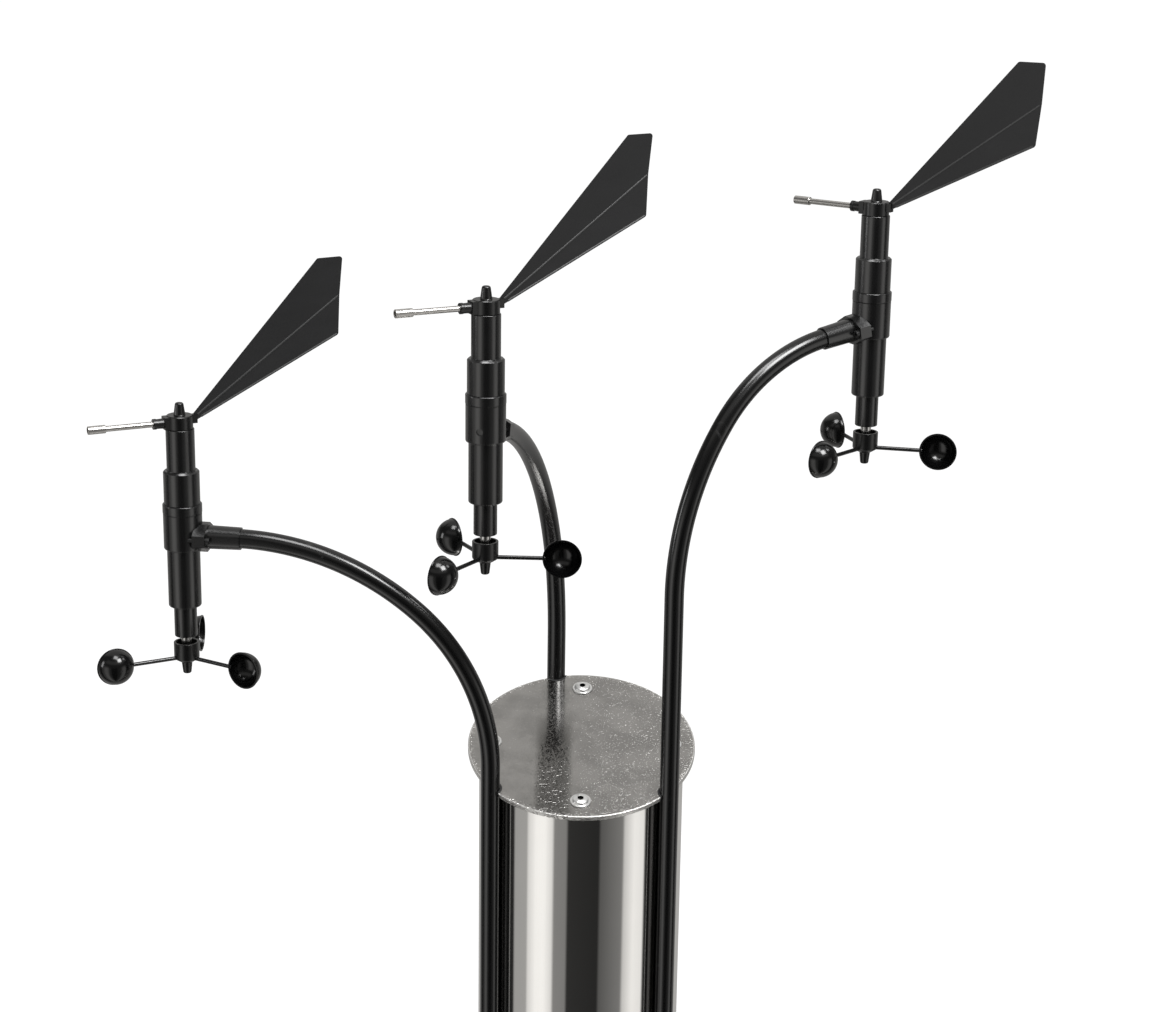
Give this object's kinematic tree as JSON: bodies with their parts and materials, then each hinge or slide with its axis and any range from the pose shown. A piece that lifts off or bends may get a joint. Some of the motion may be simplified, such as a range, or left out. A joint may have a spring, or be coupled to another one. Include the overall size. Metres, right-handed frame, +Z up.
{
  "type": "cup anemometer and wind vane station",
  "caption": "Wind sensor station: cup anemometers with folded-tail wind vanes on bent tube arms around a round steel column.",
  "frame": {"origin": "middle of the base flange's underside, on the column's axis", "axes": "+Z up along the column, -Y towards the low side of the sloping cap plate, +X towards the tallest head"},
  "size_m": [0.9374, 0.3884, 1.1542],
  "materials": {
    "housing_black": "satin black anodised",
    "arm_black": "semi-gloss black coating",
    "hub_black": "semi-gloss black moulding",
    "blade_black": "satin black sheet",
    "polished_rod": "polished stainless",
    "spoke_black": "gloss black",
    "cup_black": "gloss black",
    "spindle_steel": "ground and polished steel",
    "column_steel": "mirror-polished stainless",
    "plate_steel": "worn brushed stainless",
    "screw_steel": "polished stainless screws",
    "screw_black": "black oxide screws",
    "clamp_steel": "brushed stainless",
    "grommet_rubber": "matt black rubber",
    "board_green": "circuit board"
  },
  "bodies": {
    "station": {"left_arm_tube": "arm_black", "left_arm_socket": "housing_black", "left_centre_housing": "housing_black", "left_upper_housing": "housing_black", "left_lower_housing": "housing_black", "middle_arm_tube": "arm_black", "middle_arm_socket": "housing_black", "middle_centre_housing": "housing_black", "middle_upper_housing": "housing_black", "middle_lower_housing": "housing_black", "right_arm_tube": "arm_black", "right_arm_socket": "housing_black", "right_centre_housing": "housing_black", "right_upper_housing": "housing_black", "right_lower_housing": "housing_black", "column_tube": "column_steel", "cap_plate": "plate_steel", "cap_screws": "screw_steel", "cap_support_ring": "plate_steel", "base_flange": "plate_steel", "tube_clamps": "clamp_steel", "socket_screws": "screw_black", "notch_grommets": "grommet_rubber", "collar_rings": "housing_black", "vane_bearings": "spindle_steel", "cup_bearings": "spindle_steel", "sensor_boards": "board_green"},
    "left_vane": {"left_vane_hub": "hub_black", "left_vane_cap": "hub_black", "left_vane_blade": "blade_black", "left_vane_rod": "polished_rod", "left_vane_counterweight": "polished_rod", "left_vane_shaft": "spindle_steel"},
    "left_rotor": {"left_cup_hub": "hub_black", "left_cup_spokes": "spoke_black", "left_cups": "cup_black", "left_cup_nose": "hub_black", "left_cup_shaft": "spindle_steel"},
    "middle_vane": {"middle_vane_hub": "hub_black", "middle_vane_cap": "hub_black", "middle_vane_blade": "blade_black", "middle_vane_rod": "polished_rod", "middle_vane_counterweight": "polished_rod", "middle_vane_shaft": "spindle_steel"},
    "middle_rotor": {"middle_cup_hub": "hub_black", "middle_cup_spokes": "spoke_black", "middle_cups": "cup_black", "middle_cup_nose": "hub_black", "middle_cup_shaft": "spindle_steel"},
    "right_vane": {"right_vane_hub": "hub_black", "right_vane_cap": "hub_black", "right_vane_blade": "blade_black", "right_vane_rod": "polished_rod", "right_vane_counterweight": "polished_rod", "right_vane_shaft": "spindle_steel"},
    "right_rotor": {"right_cup_hub": "hub_black", "right_cup_spokes": "spoke_black", "right_cups": "cup_black", "right_cup_nose": "hub_black", "right_cup_shaft": "spindle_steel"}
  },
  "joints": [
    {"name": "left_vane_turn", "type": "hinge", "parent": "station", "child": "left_vane", "pos_m": [-0.4125, -0.0469, 0.7728], "axis": [0, 0, 1], "continuous": true},
    {"name": "left_cup_spin", "type": "hinge", "parent": "station", "child": "left_rotor", "pos_m": [-0.4125, -0.0469, 0.5279], "axis": [0, 0, 1], "continuous": true},
    {"name": "middle_vane_turn", "type": "hinge", "parent": "station", "child": "middle_vane", "pos_m": [-0.0979, -0.1407, 0.9149], "axis": [0, 0, 1], "continuous": true},
    {"name": "middle_cup_spin", "type": "hinge", "parent": "station", "child": "middle_rotor", "pos_m": [-0.0979, -0.1407, 0.67], "axis": [0, 0, 1], "continuous": true},
    {"name": "right_vane_turn", "type": "hinge", "parent": "station", "child": "right_vane", "pos_m": [0.293, 0.0355, 0.9887], "axis": [0, 0, 1], "continuous": true},
    {"name": "right_cup_spin", "type": "hinge", "parent": "station", "child": "right_rotor", "pos_m": [0.293, 0.0355, 0.7438], "axis": [0, 0, 1], "continuous": true}
  ]
}
